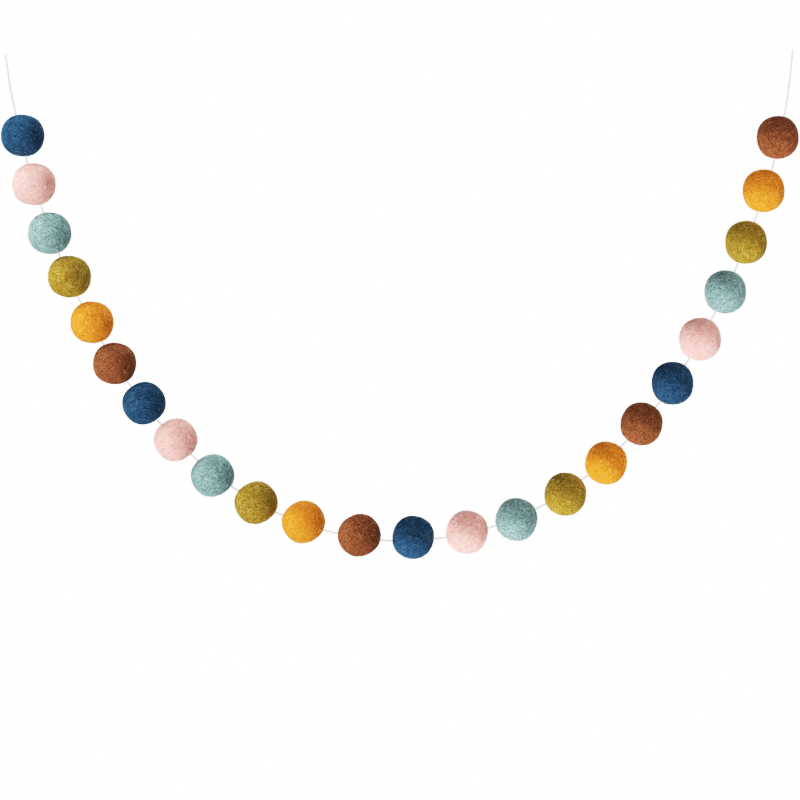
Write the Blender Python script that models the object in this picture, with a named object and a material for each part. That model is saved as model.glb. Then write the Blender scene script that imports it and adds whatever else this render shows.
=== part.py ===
"""Felt ball garland: wool balls threaded on one cotton string, hung in a deep curve by its two ends.

Metres, +Z up. The left end of the string is the origin. The garland hangs in the XZ plane and
its front faces -Y.
"""

import math
from collections import namedtuple

import bmesh
import bpy
from mathutils import Vector, noise

MM = 0.001

# Felted wool ball. Wet felting leaves it round but for the two ends of its bore, where the
# needle and the string have drawn the wool in, and a few shallow lumps.
BALL_DIAMETER = 25.0 * MM
DRAWN_IN = 0.045
DRAWN_IN_ANGLE = math.radians(20)
LUMP_HEIGHT = 0.012
LUMPS_PER_RADIUS = 1.3
BALL_SEGMENTS = 20
BALL_RINGS = 12

# Cotton string, and the bore that clears it in every ball.
STRING_DIAMETER = 1.2 * MM
BORE_CLEARANCE = 0.3 * MM
STRING_POINTS = 80
CURVE_STEPS = 24
TUBE_RESOLUTION = 2

# One colour after the other, again and again from the left end.
BALL_COLOURS = {
    "blue": "#27496B",
    "pink": "#E6C0B6",
    "teal": "#8BAAAA",
    "olive": "#A6872D",
    "yellow": "#DC9729",
    "brown": "#8C502F",
}
STRING_COLOUR = "#E4E3E0"

# The string's route, in millimetres from its left end: the bare tail down to the first ball,
# the middle of each gap between two balls, and the bare tail up to the right end.
RoutePoint = namedtuple("RoutePoint", "across up")
STRING_ROUTE = [
    RoutePoint(0.0, 0.0),
    RoutePoint(2.5, -17.5),
    RoutePoint(5.5, -32.5),
    RoutePoint(12.5, -62.0),
    RoutePoint(21.5, -90.5),
    RoutePoint(31.5, -117.5),
    RoutePoint(43.5, -144.0),
    RoutePoint(57.0, -169.0),
    RoutePoint(72.5, -193.0),
    RoutePoint(90.0, -215.5),
    RoutePoint(110.5, -236.0),
    RoutePoint(134.5, -254.5),
    RoutePoint(161.0, -269.5),
    RoutePoint(191.0, -280.0),
    RoutePoint(223.5, -285.0),
    RoutePoint(255.5, -283.5),
    RoutePoint(285.5, -277.0),
    RoutePoint(314.0, -265.0),
    RoutePoint(340.0, -248.0),
    RoutePoint(363.0, -228.0),
    RoutePoint(383.0, -205.0),
    RoutePoint(400.0, -180.0),
    RoutePoint(415.5, -153.0),
    RoutePoint(429.0, -124.5),
    RoutePoint(440.5, -95.0),
    RoutePoint(450.5, -64.5),
    RoutePoint(457.5, -33.0),
    RoutePoint(460.0, -16.5),
    RoutePoint(462.0, 3.0),
]

# Each ball's place, in millimetres: how far along the string it sits, and how far its middle
# lies to the inner side of the curve, since no ball is pierced exactly through its middle.
BallPlace = namedtuple("BallPlace", "along inward")
BALL_PLACES = [
    BallPlace(48.5, 1.1),
    BallPlace(78.0, 0.0),
    BallPlace(108.0, -0.6),
    BallPlace(136.0, 0.5),
    BallPlace(166.0, 0.5),
    BallPlace(193.5, -0.4),
    BallPlace(222.5, 0.2),
    BallPlace(251.0, 0.0),
    BallPlace(281.0, -1.5),
    BallPlace(311.0, -0.5),
    BallPlace(341.0, 0.9),
    BallPlace(375.0, 1.4),
    BallPlace(407.0, 1.8),
    BallPlace(439.0, 0.7),
    BallPlace(469.0, -1.0),
    BallPlace(501.0, -1.4),
    BallPlace(531.0, -1.3),
    BallPlace(562.0, 0.2),
    BallPlace(592.0, 0.2),
    BallPlace(622.5, 0.2),
    BallPlace(654.0, 0.0),
    BallPlace(685.5, 0.3),
    BallPlace(717.5, 0.8),
    BallPlace(750.0, 1.1),
]


def clear_scene():
    for old in list(bpy.data.objects):
        bpy.data.objects.remove(old, do_unlink=True)


def new_collection(name):
    collection = bpy.data.collections.new(name)
    bpy.context.scene.collection.children.link(collection)
    return collection


def linear_colour(hex_colour):
    """The linear RGBA of an sRGB colour written as #RRGGBB."""
    channels = []
    for start in (1, 3, 5):
        value = int(hex_colour[start:start + 2], 16) / 255
        channels.append(value / 12.92 if value <= 0.04045 else ((value + 0.055) / 1.055) ** 2.4)
    return (*channels, 1.0)


def new_material(name, hex_colour, roughness):
    material = bpy.data.materials.new(name)
    material.use_nodes = True
    material.diffuse_color = linear_colour(hex_colour)
    shader = material.node_tree.nodes["Principled BSDF"]
    shader.inputs["Base Color"].default_value = linear_colour(hex_colour)
    shader.inputs["Roughness"].default_value = roughness
    shader.inputs["Metallic"].default_value = 0.0
    return material


def smooth_line(route):
    """A smooth line through the route's points (Catmull-Rom), as closely spaced points in metres."""
    points = [Vector((p.across, 0.0, p.up)) * MM for p in route]
    before_first = points[0] * 2 - points[1]
    after_last = points[-1] * 2 - points[-2]
    points = [before_first, *points, after_last]
    line = []
    for a, b, c, d in zip(points, points[1:], points[2:], points[3:]):
        for step in range(CURVE_STEPS):
            t = step / CURVE_STEPS
            slope = (c - a) * t
            curve = (a * 2 - b * 5 + c * 4 - d) * t**2
            twist = (b * 3 - a - c * 3 + d) * t**3
            line.append((b * 2 + slope + curve + twist) / 2)
    line.append(points[-2])
    return line


def point_along(line, distance):
    """The point that lies this far along the line, and the line's direction there."""
    walked = 0.0
    for start, end in zip(line, line[1:]):
        stretch = (end - start).length
        if walked + stretch >= distance:
            return start.lerp(end, (distance - walked) / stretch), (end - start).normalized()
        walked += stretch
    return line[-1], (line[-1] - line[-2]).normalized()


def evenly_spaced(line, count):
    """The line read again at this many points, the same distance apart."""
    length = sum((end - start).length for start, end in zip(line, line[1:]))
    return [point_along(line, length * index / (count - 1))[0] for index in range(count)]


def tube(name, points, radius, collection):
    """A round tube with closed ends, as a curve object along the points."""
    data = bpy.data.curves.new(name, "CURVE")
    data.dimensions = "3D"
    data.bevel_depth = radius
    data.bevel_resolution = TUBE_RESOLUTION
    data.use_fill_caps = True
    spline = data.splines.new("POLY")
    spline.points.add(len(points) - 1)
    for spline_point, place in zip(spline.points, points):
        spline_point.co = (*place, 1.0)
    spline.use_smooth = True
    made = bpy.data.objects.new(name, data)
    collection.objects.link(made)
    return made


def bore_cutter(points, collection):
    """A closed mesh along the string, thicker than it by the clearance, that cuts every ball's bore."""
    curve = tube("bore_curve", points, STRING_DIAMETER / 2 + BORE_CLEARANCE, collection)
    bpy.context.view_layer.update()
    evaluated = curve.evaluated_get(bpy.context.evaluated_depsgraph_get())
    mesh = bpy.data.meshes.new_from_object(evaluated)
    shape = bmesh.new()
    shape.from_mesh(mesh)
    bmesh.ops.remove_doubles(shape, verts=shape.verts, dist=0.0001 * MM)
    bmesh.ops.recalc_face_normals(shape, faces=shape.faces)
    shape.to_mesh(mesh)
    shape.free()
    cutter = bpy.data.objects.new("bore_cutter", mesh)
    cutter.matrix_world = curve.matrix_world
    cutter.hide_render = True
    cutter.display_type = "WIRE"
    collection.objects.link(cutter)
    bpy.data.objects.remove(curve, do_unlink=True)
    return cutter


def felt_ball_mesh(name, number):
    """A ball about the origin, a little lumpy, and drawn in at both ends of Z, where its bore will run."""
    shape = bmesh.new()
    bmesh.ops.create_uvsphere(
        shape, u_segments=BALL_SEGMENTS, v_segments=BALL_RINGS, radius=BALL_DIAMETER / 2
    )
    other_wool = Vector((number * 3.1, number * 1.7, number * 2.3))
    for vertex in shape.verts:
        direction = vertex.co.normalized()
        from_bore = math.acos(min(1.0, abs(direction.z)))
        drawn_in = DRAWN_IN * math.exp(-((from_bore / DRAWN_IN_ANGLE) ** 2))
        lump = LUMP_HEIGHT * noise.noise(direction * LUMPS_PER_RADIUS + other_wool)
        vertex.co *= 1 - drawn_in + lump
    mesh = bpy.data.meshes.new(name)
    shape.to_mesh(mesh)
    shape.free()
    return mesh


def add_ball(number, colour, place, line, cutter, material, collection):
    """One ball on the string. Its bore follows the string, and its middle lies a little off it."""
    on_string, direction = point_along(line, place.along * MM)
    inner_side = Vector((-direction.z, 0.0, direction.x))
    name = f"ball_{number:02d}_{colour}"
    mesh = felt_ball_mesh(name, number)
    mesh.materials.append(material)
    mesh.shade_smooth()
    ball = bpy.data.objects.new(name, mesh)
    ball.location = on_string + inner_side * place.inward * MM
    ball.rotation_euler = (0.0, math.atan2(direction.x, direction.z), 0.0)
    collection.objects.link(ball)
    bore = ball.modifiers.new("bore", "BOOLEAN")
    bore.operation = "DIFFERENCE"
    bore.solver = "EXACT"
    bore.object = cutter
    return ball


clear_scene()
garland = new_collection("felt_ball_garland")
cutters = new_collection("cutters")

string_line = smooth_line(STRING_ROUTE)
string_points = evenly_spaced(string_line, STRING_POINTS)
string = tube("string", string_points, STRING_DIAMETER / 2, garland)
string.data.materials.append(new_material("cotton_string", STRING_COLOUR, 0.85))

string_bore = bore_cutter(string_points, cutters)
felts = {colour: new_material(f"felt_{colour}", code, 0.95) for colour, code in BALL_COLOURS.items()}
colour_order = list(BALL_COLOURS)
for ball_index, ball_place in enumerate(BALL_PLACES):
    ball_colour = colour_order[ball_index % len(colour_order)]
    add_ball(
        ball_index + 1, ball_colour, ball_place, string_line, string_bore, felts[ball_colour], garland
    )
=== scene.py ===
import math

import bmesh
import bpy
import numpy as np
from mathutils import Euler, Matrix, Vector, noise


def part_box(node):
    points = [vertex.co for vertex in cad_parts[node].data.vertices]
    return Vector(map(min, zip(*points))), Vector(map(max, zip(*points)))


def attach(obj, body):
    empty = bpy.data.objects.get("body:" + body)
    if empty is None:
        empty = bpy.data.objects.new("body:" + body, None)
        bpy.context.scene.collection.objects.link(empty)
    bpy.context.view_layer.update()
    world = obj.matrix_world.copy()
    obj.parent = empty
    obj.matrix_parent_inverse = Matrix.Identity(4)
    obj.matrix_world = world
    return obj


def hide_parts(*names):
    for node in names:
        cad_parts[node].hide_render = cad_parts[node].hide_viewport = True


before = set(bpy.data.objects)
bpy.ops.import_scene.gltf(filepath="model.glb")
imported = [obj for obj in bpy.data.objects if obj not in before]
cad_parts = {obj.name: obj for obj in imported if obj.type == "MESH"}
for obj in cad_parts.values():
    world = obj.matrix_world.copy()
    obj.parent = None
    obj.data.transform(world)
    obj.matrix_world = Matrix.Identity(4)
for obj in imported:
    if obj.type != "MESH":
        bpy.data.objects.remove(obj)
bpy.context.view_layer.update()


# Camera: level with the middle of the garland and square to the plane in which it hangs, and far
# enough off for a long lens, as for a catalogue picture of something wide and flat.
MM = 0.001
PICTURE_WIDTH = 469.6 * MM
PICTURE_MIDDLE = (231.5 * MM, -202.6 * MM)
LENS_LENGTH = 120
SENSOR_WIDTH = 36

camera_data = bpy.data.cameras.new("camera")
camera_data.lens = LENS_LENGTH
camera_data.sensor_width = SENSOR_WIDTH
camera = bpy.data.objects.new("camera", camera_data)
camera.location = (PICTURE_MIDDLE[0], -PICTURE_WIDTH * LENS_LENGTH / SENSOR_WIDTH, PICTURE_MIDDLE[1])
camera.rotation_euler = (math.radians(90), 0, 0)
bpy.context.scene.collection.objects.link(camera)
bpy.context.scene.camera = camera

# The picture's tone curve: light in the scene, and light as shown. Like a printed catalogue it is
# steep in the deep colours and gentle in the pale ones, and white stays white.
TONE_CURVE = [(0.0425, 0.03), (0.126, 0.16), (0.197, 0.3), (0.307, 0.5), (0.527, 0.75)]
ALL_COLOURS_CURVE = 3

view = bpy.context.scene.view_settings
view.view_transform = "Standard"
view.use_curve_mapping = True
for light, shown in TONE_CURVE:
    view.curve_mapping.curves[ALL_COLOURS_CURVE].points.new(light, shown)
view.curve_mapping.update()


# String: undyed cotton, three yarns twisted into one cord, cut off plainly at both ends. It
# carries all the balls and hangs in a deep curve from its ends.
STRING_LENGTH = 802 * MM
CURVE_STEPS = 24
YARN_RADIUS = 0.29 * MM
YARN_FROM_MIDDLE = 0.31 * MM
YARN_COUNT = 3
TWIST_LENGTH = 2.6 * MM
STEPS_PER_TWIST = 7

# Across and up, in millimetres from the left end.
STRING_ROUTE = [
    (0.0, 0.0),
    (2.5, -17.5),
    (5.5, -32.5),
    (12.5, -62.0),
    (21.5, -90.5),
    (31.5, -117.5),
    (43.5, -144.0),
    (57.0, -169.0),
    (72.5, -193.0),
    (90.0, -215.5),
    (110.5, -236.0),
    (134.5, -254.5),
    (161.0, -269.5),
    (191.0, -280.0),
    (223.5, -285.0),
    (255.5, -283.5),
    (285.5, -277.0),
    (314.0, -265.0),
    (340.0, -248.0),
    (363.0, -228.0),
    (383.0, -205.0),
    (400.0, -180.0),
    (415.5, -153.0),
    (429.0, -124.5),
    (440.5, -95.0),
    (450.5, -64.5),
    (457.5, -33.0),
    (460.0, -16.5),
    (462.0, 3.0),
]


def smooth_line(route):
    """A smooth line through the route's points (Catmull-Rom), as closely spaced points in metres."""
    points = [Vector((across, 0.0, up)) * MM for across, up in route]
    before_first = points[0] * 2 - points[1]
    after_last = points[-1] * 2 - points[-2]
    points = [before_first, *points, after_last]
    line = []
    for before, start, end, after in zip(points, points[1:], points[2:], points[3:]):
        for step in range(CURVE_STEPS):
            share = step / CURVE_STEPS
            slope = (end - before) * share
            curve = (before * 2 - start * 5 + end * 4 - after) * share**2
            twist = (start * 3 - before - end * 3 + after) * share**3
            line.append((start * 2 + slope + curve + twist) / 2)
    line.append(points[-2])
    return line


def evenly_spaced(line, count):
    """The line read again at this many points, the same distance apart, as an array."""
    line = np.array(line)
    walked = np.concatenate([[0], np.cumsum(np.linalg.norm(np.diff(line, axis=0), axis=1))])
    wanted = np.linspace(0, walked[-1], count)
    return np.column_stack([np.interp(wanted, walked, line[:, axis]) for axis in range(3)])


def new_spline(data, points, radii=None):
    """A spline of straight steps through the points, added to a curve."""
    spline = data.splines.new("POLY")
    spline.points.add(len(points) - 1)
    spline.points.foreach_set("co", np.column_stack([points, np.ones(len(points))]).ravel())
    if radii is not None:
        spline.points.foreach_set("radius", radii)
    return spline


def new_object(name, data):
    """An object in the scene, at the origin."""
    made = bpy.data.objects.new(name, data)
    bpy.context.scene.collection.objects.link(made)
    return made


def mesh_of(source):
    """What an object comes to with its bevel and its modifiers, as a mesh of its own."""
    bpy.context.view_layer.update()
    return bpy.data.meshes.new_from_object(source.evaluated_get(bpy.context.evaluated_depsgraph_get()))


def linear_colour(hex_colour):
    """The linear RGBA of an sRGB colour written as #RRGGBB."""
    channels = []
    for start in (1, 3, 5):
        value = int(hex_colour[start:start + 2], 16) / 255
        channels.append(value / 12.92 if value <= 0.04045 else ((value + 0.055) / 1.055) ** 2.4)
    return (*channels, 1.0)


def add_node(tree, kind, inputs=None, **settings):
    """A node with its settings. Each input is a value, or another node's output to link to."""
    made = tree.nodes.new(kind)
    for name, value in settings.items():
        setattr(made, name, value)
    for name, value in (inputs or {}).items():
        if isinstance(value, bpy.types.NodeSocket):
            tree.links.new(value, made.inputs[name])
        else:
            made.inputs[name].default_value = value
    return made


def new_material(name):
    """An empty material, and its nodes."""
    material = bpy.data.materials.new(name)
    material.use_nodes = True
    material.node_tree.nodes.clear()
    return material, material.node_tree


def set_ramp(ramp, stops):
    """A colour ramp's stops, each a place and a hex colour."""
    elements = ramp.color_ramp.elements
    while len(elements) < len(stops):
        elements.new(0.5)
    for element, (place, hex_colour) in zip(elements, stops):
        element.position = place
        element.color = linear_colour(hex_colour)


string_line = smooth_line(STRING_ROUTE)
twist_steps = round(STRING_LENGTH / TWIST_LENGTH * STEPS_PER_TWIST)
string_middle = evenly_spaced(string_line, twist_steps + 1)
string_direction = np.gradient(string_middle, axis=0)
string_direction /= np.linalg.norm(string_direction, axis=1)[:, None]
inner_side = np.column_stack([-string_direction[:, 2], np.zeros(twist_steps + 1), string_direction[:, 0]])
turned = 2 * np.pi * np.arange(twist_steps + 1) / STEPS_PER_TWIST

string_curve = bpy.data.curves.new("string", "CURVE")
string_curve.dimensions = "3D"
string_curve.bevel_depth = YARN_RADIUS
string_curve.bevel_resolution = 1
string_curve.use_fill_caps = True
for yarn in range(YARN_COUNT):
    angle = turned + 2 * np.pi * yarn / YARN_COUNT
    round_the_middle = inner_side * np.cos(angle)[:, None]
    round_the_middle[:, 1] = np.sin(angle)
    new_spline(string_curve, string_middle + round_the_middle * YARN_FROM_MIDDLE)
string_source = new_object("string_source", string_curve)
string = new_object("cotton_string", mesh_of(string_source))
bpy.data.objects.remove(string_source)
string.data.shade_smooth()

# Cotton yarn is matt and off-white, with a soft grain of short fibres along it: drawn at 0.6 mm,
# which is coarser than the real fibres, so that it shows as a slightly uneven pale line.
COTTON_COLOUR = "#E8E8EA"
COTTON_SHADE = "#D6D6DA"
COTTON_GRAIN = 0.6 * MM

cotton, tree = new_material("twisted_cotton")
coordinates = add_node(tree, "ShaderNodeTexCoord")
grain = add_node(
    tree,
    "ShaderNodeTexNoise",
    {"Vector": coordinates.outputs["Object"], "Scale": 1 / COTTON_GRAIN, "Detail": 3.0},
)
cotton_shades = add_node(tree, "ShaderNodeValToRGB", {"Fac": grain.outputs["Fac"]})
set_ramp(cotton_shades, [(0.3, COTTON_SHADE), (0.6, COTTON_COLOUR)])
fibre_relief = add_node(
    tree, "ShaderNodeBump", {"Height": grain.outputs["Fac"], "Strength": 0.4, "Distance": 0.1 * MM}
)
shader = add_node(
    tree,
    "ShaderNodeBsdfPrincipled",
    {
        "Base Color": cotton_shades.outputs["Color"],
        "Normal": fibre_relief.outputs["Normal"],
        "Roughness": 0.85,
        "Sheen Weight": 0.2,
    },
)
add_node(tree, "ShaderNodeOutputMaterial", {"Surface": shader.outputs["BSDF"]})
string.data.materials.append(cotton)
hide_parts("string")
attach(string, "root")


# Felt balls: carded wool in six colours, wetted and rolled between the palms until it mats into a
# firm ball, two sides of it pressed a little flat. A needle takes each on to the string. The wool
# lies in whorls, and a few stray hairs stand off it.
BALL_RADIUS = 12.5 * MM
MAT_ROUNDNESS = 4
HOLE_RADIUS = 0.75 * MM
HOLE_STEPS = 200
MOUTH_REACH = math.cos(math.radians(6))
MERGE_DISTANCE = 0.0001 * MM

# A ball's form, as shares of its radius: how far its pressed sides are in, how square it is between
# them, and how high its lumps are. The lumps move on by a step from one ball to the next.
PRESSED_FLAT = 0.017
SQUARED_OFF = 0.014
LUMP_HEIGHT = 0.008
LUMPS_PER_RADIUS = 1.3
LUMP_STEPS = (3.1, 1.7, 2.3)

# Which way the pressed sides face, in degrees up from the right, for each run of the six colours.
PRESSED_SIDES = (86, 121, 165, 183)

# The wool is wound about one eye near the middle of a ball's front, and waves of a few lengths draw
# it aside into whorls. The pull is how firmly the winding holds against them.
WHORL_EYE = (-0.15, -1.0, -0.35)
WHORL_PULL = 8
WHORL_WAVES = 5
WHORL_SIZES = (14 * MM, 32 * MM)

# Locks follow the wool's lie, half sunk in the mat and thicker than real ones so that they show.
# They stray a little from it, by an angle in radians. Dye runs from 0, the deepest shade, to 1.
LOCK_COUNT = 2400
LOCK_POINTS = 4
LOCK_LENGTHS = (3 * MM, 5.2 * MM)
LOCK_THICKNESSES = (0.24 * MM, 0.4 * MM)
LOCK_TAPER = (0, 1, 1, 0)
LOCK_HEIGHTS = (-0.1 * MM, 0.02 * MM)
LOCK_TIP_SINK = 0.2 * MM
LOCK_STRAY = 0.15
LOCK_DYES = (0.0, 0.62)
# The mat's dye is a little deeper than the locks' average: partly the deeper wool under them, partly
# painted shade in the gaps between the locks.
MAT_DYE_AND_GAP_SHADE = 0.2
STRAND_SIDES = 3

# Stray hairs, thicker than real ones so that they show, leave the mat at a slant, bend to one side
# and arch over. Their bend, run and lift are shares of their length, and their arch is in radians.
HAIR_COUNT = 240
HAIR_POINTS = 4
HAIR_LENGTHS = (1.2 * MM, 2.8 * MM)
HAIR_THICKNESSES = (0.045 * MM, 0.065 * MM)
HAIR_TAPER = (0, 1, 0.8, 0)
HAIR_RISES = (0.2 * MM, 0.9 * MM)
HAIR_ROOT = 0.15 * MM
HAIR_BEND = 0.6
HAIR_RUN = 0.8
HAIR_LIFT = 0.15
HAIR_ARCH = 1.9
HAIR_DYES = (0.2, 0.8)

# Each dyed wool is a blend of fibres that took up more or less dye, from the deepest to the palest.
WOOLS = {
    "blue": ("#0F1E2C", "#335570", "#426278", "#647E8B"),
    "pink": ("#CA847C", "#DEAEA5", "#E8C0B7", "#F5DDDE"),
    "teal": ("#3F5356", "#839D9B", "#9AB1B3", "#BFD4D4"),
    "olive": ("#684A1A", "#968038", "#AD974E", "#CEBC8D"),
    "yellow": ("#B8651D", "#CD8C36", "#E29B4B", "#F4BF81"),
    "brown": ("#312011", "#8A5A3D", "#996B4E", "#B4927F"),
}
MOTTLE_SIZE = 3 * MM
MOTTLE_SHARE = 0.12
FIBRE_GRAIN = 0.7 * MM
FIBRE_SHARE = 0.3


def felted_wool(colour, deep, body, light, fleck):
    """Wet-felted wool: no shine, but a soft sheen where its fibres catch light from the side. Each
    lock has its own share of dye, the mat is mottled every few millimetres, and the grain of single
    fibres is drawn at 0.7 mm, which is coarser than real ones, so that it shows."""
    material, tree = new_material(f"wet_felted_wool_{colour}")
    coordinates = add_node(tree, "ShaderNodeTexCoord")
    dye = add_node(tree, "ShaderNodeAttribute", attribute_name="dye")
    mottle = add_node(
        tree,
        "ShaderNodeTexNoise",
        {"Vector": coordinates.outputs["Object"], "Scale": 1 / MOTTLE_SIZE, "Detail": 2.0},
    )
    fibres = add_node(
        tree,
        "ShaderNodeTexNoise",
        {
            "Vector": coordinates.outputs["Object"],
            "Scale": 1 / FIBRE_GRAIN,
            "Detail": 5.0,
            "Distortion": 0.7,
        },
        normalize=False,
    )
    mottled = add_node(
        tree,
        "ShaderNodeMath",
        {0: mottle.outputs["Fac"], 1: MOTTLE_SHARE, 2: dye.outputs["Fac"]},
        operation="MULTIPLY_ADD",
    )
    grained = add_node(
        tree,
        "ShaderNodeMath",
        {0: fibres.outputs["Fac"], 1: FIBRE_SHARE, 2: mottled.outputs["Value"]},
        operation="MULTIPLY_ADD",
    )
    blend = add_node(tree, "ShaderNodeValToRGB", {"Fac": grained.outputs["Value"]})
    set_ramp(blend, [(0.0, deep), (0.32, body), (0.52, light), (0.85, fleck)])
    relief = add_node(
        tree, "ShaderNodeBump", {"Height": fibres.outputs["Fac"], "Strength": 0.5, "Distance": 0.06 * MM}
    )
    shader = add_node(
        tree,
        "ShaderNodeBsdfPrincipled",
        {
            "Base Color": blend.outputs["Color"],
            "Normal": relief.outputs["Normal"],
            "Roughness": 0.95,
            "Specular IOR Level": 0.2,
            "Sheen Weight": 0.35,
            "Sheen Roughness": 0.5,
            "Sheen Tint": linear_colour(light),
        },
    )
    add_node(tree, "ShaderNodeOutputMaterial", {"Surface": shader.outputs["BSDF"]})
    return material


def unit(vectors):
    """The vectors, each made one long."""
    return vectors / np.linalg.norm(vectors, axis=-1, keepdims=True)


def ball_form(directions, number, pressed_way):
    """How far a ball's surface lies from its middle in each direction. It is round but for low lumps
    and for two opposite sides pressed a little flat when wet, which squares it off between them."""
    other_wool = Vector([number * step for step in LUMP_STEPS])
    lumps = [noise.noise(Vector(direction) * LUMPS_PER_RADIUS + other_wool) for direction in directions]
    from_pressed = np.arccos(np.clip(directions @ pressed_way, -1, 1))
    pressed_in = PRESSED_FLAT * np.cos(2 * from_pressed) + SQUARED_OFF * np.cos(4 * from_pressed)
    return BALL_RADIUS * (1 - pressed_in + LUMP_HEIGHT * np.array(lumps))


def clear_of_mouths(directions):
    """Which places on a ball lie clear of the two mouths of its hole, on Z."""
    return np.abs(directions[..., 2]) < MOUTH_REACH


def lie_of_wool(directions, waves, starts, eye):
    """Which way the wool lies at each place on a ball: wound about one eye, as it was rolled up, and
    drawn aside into whorls."""
    slopes = np.cos(directions @ waves.T + starts) @ waves + eye * WHORL_PULL
    return unit(np.cross(directions, slopes))


def set_dye(mesh, dyes):
    """How deep the dye is at each point of a mesh, kept as an attribute that its material reads."""
    mesh.attributes.new("dye", "FLOAT", "POINT").data.foreach_set("value", dyes.astype(np.float32))


def strand_mesh(lines, thicknesses, taper, dyes):
    """Strands of wool, one along each line of points, thin three-sided tubes that end in points and
    fade there into the mat's dye, which is partly painted shade between the locks."""
    data = bpy.data.curves.new("strands", "CURVE")
    data.dimensions = "3D"
    data.bevel_mode = "OBJECT"
    data.bevel_object = strand_section
    taper = np.array(taper)
    for line, thickness in zip(lines, thicknesses):
        new_spline(data, line, taper * thickness / 2)
    source = new_object("strands", data)
    mesh = mesh_of(source)
    bpy.data.objects.remove(source)
    # At their tips the locks fade into the mat's value, with its painted shade between the locks.
    shades = MAT_DYE_AND_GAP_SHADE + np.outer(dyes - MAT_DYE_AND_GAP_SHADE, taper)
    set_dye(mesh, np.repeat(shades.ravel(), STRAND_SIDES))
    return mesh


def mat_of_wool(name, number, pressed_way):
    """The firm mat under the locks: a closed ball about the origin."""
    mat = bmesh.new()
    bmesh.ops.create_icosphere(mat, subdivisions=MAT_ROUNDNESS, radius=1)
    directions = unit(np.array([vertex.co[:] for vertex in mat.verts]))
    for vertex, radius in zip(mat.verts, ball_form(directions, number, pressed_way)):
        vertex.co = vertex.co.normalized() * radius
    mesh = bpy.data.meshes.new(name)
    mat.to_mesh(mesh)
    mat.free()
    return mesh


def locks_of_wool(random, number, pressed_way, eye):
    """Locks all over a ball, each laid from a random place along the wool. One that would cross a
    mouth of the hole, or double back in the middle of a whorl, is left out."""
    wave_lengths = random.uniform(*WHORL_SIZES, WHORL_WAVES)
    waves = unit(random.normal(size=(WHORL_WAVES, 3))) * (2 * np.pi * BALL_RADIUS / wave_lengths)[:, None]
    starts = random.uniform(0, 2 * np.pi, WHORL_WAVES)

    at = unit(random.normal(size=(LOCK_COUNT * 2, 3)))
    at = at[clear_of_mouths(at)][:LOCK_COUNT]
    lengths = random.uniform(*LOCK_LENGTHS, len(at))
    astray = random.normal(0, LOCK_STRAY, len(at))
    places = [at]
    for _ in range(LOCK_POINTS - 1):
        along = lie_of_wool(at, waves, starts, eye)
        along = along * np.cos(astray)[:, None] + np.cross(at, along) * np.sin(astray)[:, None]
        at = unit(at + along * (lengths / BALL_RADIUS / (LOCK_POINTS - 1))[:, None])
        places.append(at)
    places = np.stack(places, axis=1)

    steps = np.diff(places, axis=1)
    onward = ((steps[:, 1:] * steps[:, :-1]).sum(axis=2) > 0).all(axis=1)
    places = places[clear_of_mouths(places).all(axis=1) & onward]
    count = len(places)
    arch = np.sin(np.linspace(0, np.pi, LOCK_POINTS)) - 1
    heights = random.uniform(*LOCK_HEIGHTS, count)[:, None] + arch * LOCK_TIP_SINK
    radii = ball_form(places.reshape(-1, 3), number, pressed_way).reshape(count, LOCK_POINTS) + heights
    return strand_mesh(
        places * radii[:, :, None],
        random.uniform(*LOCK_THICKNESSES, count),
        LOCK_TAPER,
        random.uniform(*LOCK_DYES, count),
    )


def stray_hairs(random, number, pressed_way):
    """The single hairs that stand off a ball, rooted in its mat."""
    at = unit(random.normal(size=(HAIR_COUNT, 3)))
    at = at[clear_of_mouths(at)]
    count = len(at)
    sideways = unit(np.cross(at, random.normal(size=(count, 3))))
    bend = np.cross(at, sideways) * random.uniform(-HAIR_BEND, HAIR_BEND, count)[:, None]
    lengths = random.uniform(*HAIR_LENGTHS, count)
    rises = random.uniform(*HAIR_RISES, count) + HAIR_ROOT
    roots = at * (ball_form(at, number, pressed_way) - HAIR_ROOT)[:, None]
    places = []
    for share in np.linspace(0, 1, HAIR_POINTS):
        run = (sideways * share + bend * share**2) * (lengths * HAIR_RUN)[:, None]
        rise = rises * math.sin(share * HAIR_ARCH) / math.sin(HAIR_ARCH) + lengths * HAIR_LIFT * share
        places.append(roots + run + at * rise[:, None])
    return strand_mesh(
        np.stack(places, axis=1),
        random.uniform(*HAIR_THICKNESSES, count),
        HAIR_TAPER,
        random.uniform(*HAIR_DYES, count),
    )


def pierced(mesh, location, turn):
    """The mat with its hole, cut along the string by a tube thicker than it."""
    blank = new_object("blank", mesh)
    blank.location = location
    blank.rotation_euler = (0.0, turn, 0.0)
    hole = blank.modifiers.new("hole", "BOOLEAN")
    hole.operation = "DIFFERENCE"
    hole.solver = "EXACT"
    hole.object = needle
    made = mesh_of(blank)
    bpy.data.objects.remove(blank)
    # The whole mat takes one dye, a little deeper than the locks' average, partly as painted shade
    # between the locks.
    set_dye(made, np.full(len(made.vertices), MAT_DYE_AND_GAP_SHADE))
    return made


section_curve = bpy.data.curves.new("strand_section", "CURVE")
section_curve.dimensions = "2D"
corner_angles = -2 * np.pi * np.arange(STRAND_SIDES) / STRAND_SIDES
section_points = np.column_stack([np.cos(corner_angles), np.sin(corner_angles), np.zeros(STRAND_SIDES)])
new_spline(section_curve, section_points).use_cyclic_u = True
strand_section = new_object("strand_section", section_curve)

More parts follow.
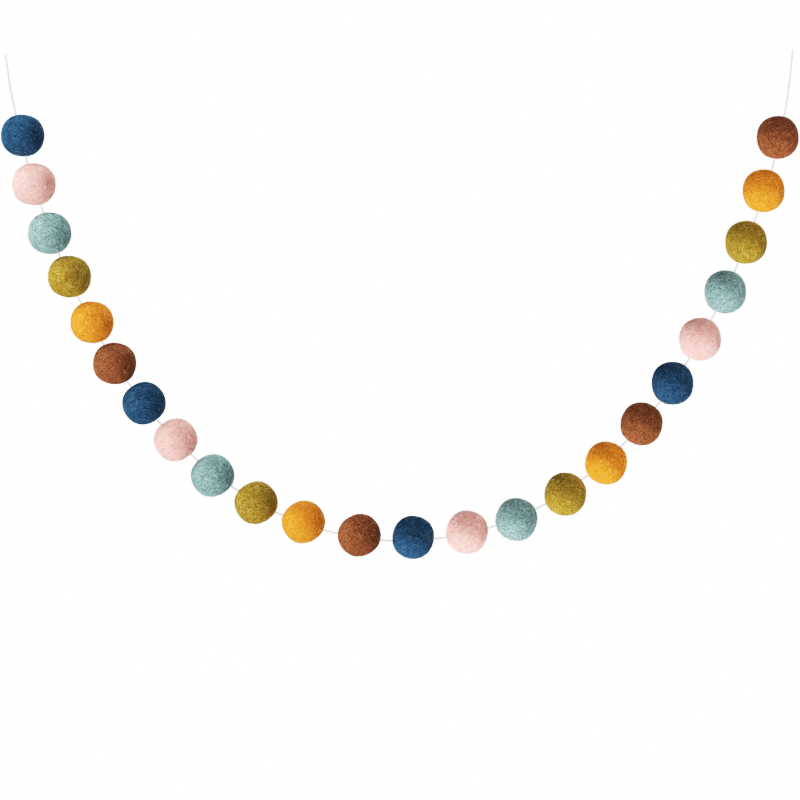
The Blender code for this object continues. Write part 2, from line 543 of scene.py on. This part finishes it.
needle_curve = bpy.data.curves.new("needle", "CURVE")
needle_curve.dimensions = "3D"
needle_curve.bevel_depth = HOLE_RADIUS
needle_curve.bevel_resolution = 2
needle_curve.use_fill_caps = True
new_spline(needle_curve, evenly_spaced(string_line, HOLE_STEPS))
needle_source = new_object("needle_source", needle_curve)
needle = new_object("needle", mesh_of(needle_source))
bpy.data.objects.remove(needle_source)
needle_shape = bmesh.new()
needle_shape.from_mesh(needle.data)
bmesh.ops.remove_doubles(needle_shape, verts=needle_shape.verts, dist=MERGE_DISTANCE)
bmesh.ops.recalc_face_normals(needle_shape, faces=needle_shape.faces)
needle_shape.to_mesh(needle.data)
needle_shape.free()

wools = {colour: felted_wool(colour, *shades) for colour, shades in WOOLS.items()}
balls = []
for node_name in sorted(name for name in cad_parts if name.startswith("ball_")):
    _, number_text, colour = node_name.split("_")
    number = int(number_text)
    low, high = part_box(node_name)
    middle = (Vector(low) + Vector(high)) / 2
    nearest = np.argmin(np.linalg.norm(string_middle - np.array(middle), axis=1))
    direction = string_direction[nearest]
    turn = math.atan2(direction[0], direction[2])

    # The ball is made with its hole along Z, so what faces a set way in the end is turned back first.
    pressed_angle = math.radians(PRESSED_SIDES[(number - 1) // len(WOOLS)])
    pressed_way = Vector((math.cos(pressed_angle), 0, math.sin(pressed_angle)))
    eye = Vector(WHORL_EYE).normalized()
    for way in (pressed_way, eye):
        way.rotate(Euler((0.0, -turn, 0.0)))
    pressed_way = np.array(pressed_way)
    eye = np.array(eye)

    random = np.random.default_rng(number)
    mat = pierced(mat_of_wool(node_name, number, pressed_way), middle, turn)
    locks = locks_of_wool(random, number, pressed_way, eye)
    hairs = stray_hairs(random, number, pressed_way)

    shape = bmesh.new()
    for part in (mat, locks, hairs):
        shape.from_mesh(part)
    bmesh.ops.remove_doubles(shape, verts=shape.verts, dist=MERGE_DISTANCE)
    bmesh.ops.transform(
        shape, verts=shape.verts, matrix=Matrix.LocRotScale(middle, Euler((0.0, turn, 0.0)), None)
    )
    made = bpy.data.meshes.new(f"felt_{node_name}")
    shape.to_mesh(made)
    shape.free()
    made.shade_smooth()
    ball = new_object(f"felt_{node_name}", made)
    made.materials.append(wools[colour])
    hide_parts(node_name)
    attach(ball, "root")
    balls.append(ball)
bpy.data.objects.remove(strand_section)
bpy.data.objects.remove(needle)


# Studio: a tent of plain white paper with a flat floor, lit all over to an even white, and soft
# boxes: for each half of the garland a large one low on the left and a small one by its end, and
# for all the balls a weak one in front and one behind.
TENT_RADIUS = 3.6
TENT_ROUNDNESS = 5
FLOOR_HEIGHT = -2.3
PAPER_WHITE = "#FFFFFF"
GARLAND_MIDDLE = Vector((0.23, 0.0, -0.17))
SOFT_BOXES = [
    # place, side, power in watts, what it lights, whether balls shade each other from it
    ((-1.3, -1.0, -1.7), 0.6, 37.0, "left_half", False),
    ((-0.2, -0.2, 0.35), 0.3, 2.2, "left_half", True),
    ((-0.8, -0.65, -2.0), 0.6, 48.0, "right_half", False),
    ((0.8, -0.25, -0.2), 0.3, 0.5, "right_half", True),
    ((0.1, -1.5, -0.2), 1.0, 6.5, "all_balls", True),
    ((0.9, 1.3, 0.4), 1.0, 17.0, "all_balls", True),
]
STRING_BOXES = [
    # place, side, power in watts
    ((0.23, -1.4, 0.5), 0.5, 15.5),
    ((0.23, 1.4, 0.5), 0.5, 15.5),
]
DAYLIGHT = 0.24

tent_shape = bmesh.new()
bmesh.ops.create_icosphere(tent_shape, subdivisions=TENT_ROUNDNESS, radius=TENT_RADIUS)
bmesh.ops.translate(tent_shape, verts=tent_shape.verts, vec=GARLAND_MIDDLE)
for vertex in tent_shape.verts:
    vertex.co.z = max(vertex.co.z, FLOOR_HEIGHT)
bmesh.ops.reverse_faces(tent_shape, faces=tent_shape.faces)
tent_mesh = bpy.data.meshes.new("paper_tent")
tent_shape.to_mesh(tent_mesh)
tent_shape.free()
tent = new_object("paper_tent", tent_mesh)

# White paper lit evenly shows no grain and no shade. The tent is only seen: the light on the
# garland is all from the boxes and the daylight.
paper, tree = new_material("white_paper")
glow = add_node(tree, "ShaderNodeEmission", {"Color": linear_colour(PAPER_WHITE), "Strength": 1.0})
add_node(tree, "ShaderNodeOutputMaterial", {"Surface": glow.outputs["Emission"]})
tent.data.materials.append(paper)
tent.visible_diffuse = False
tent.visible_glossy = False
tent.visible_transmission = False
tent.visible_shadow = False


def soft_box(name, place, side, power, lit, in_the_way):
    """A square soft box turned to the garland. It lights some pieces, and only some can block it."""
    lamp_data = bpy.data.lights.new(name, "AREA")
    lamp_data.size = side
    lamp_data.energy = power
    lamp = new_object(name, lamp_data)
    lamp.location = place
    lamp.rotation_euler = (GARLAND_MIDDLE - Vector(place)).to_track_quat("-Z", "Y").to_euler()
    lamp.visible_camera = False
    lamp.light_linking.receiver_collection = lit
    lamp.light_linking.blocker_collection = in_the_way


# With a large box for each half, the left half is lit from the left and the right half from below.
# In these two boxes' light no ball shades the next one, so that each is shaded round its own form
# alone. The balls would keep the short stretches of string between them in deep shade, so the
# string has two boxes to itself, before and behind it.
half = len(balls) // 2
groups = {}
for name, pieces in {
    "left_half": balls[:half],
    "right_half": balls[half:],
    "all_balls": balls,
    "string_alone": [string],
}.items():
    groups[name] = bpy.data.collections.new(name)
    for piece in pieces:
        groups[name].objects.link(piece)
for index, (place, side, power, lit, balls_shade) in enumerate(SOFT_BOXES, start=1):
    in_the_way = groups["all_balls" if balls_shade else "string_alone"]
    soft_box(f"soft_box_{index}", place, side, power, groups[lit], in_the_way)
for index, (place, side, power) in enumerate(STRING_BOXES, start=1):
    soft_box(f"string_box_{index}", place, side, power, groups["string_alone"], groups["string_alone"])

world = bpy.data.worlds.new("daylight")
world.use_nodes = True
bpy.context.scene.world = world
background = world.node_tree.nodes["Background"]
background.inputs["Color"].default_value = linear_colour(PAPER_WHITE)
background.inputs["Strength"].default_value = DAYLIGHT
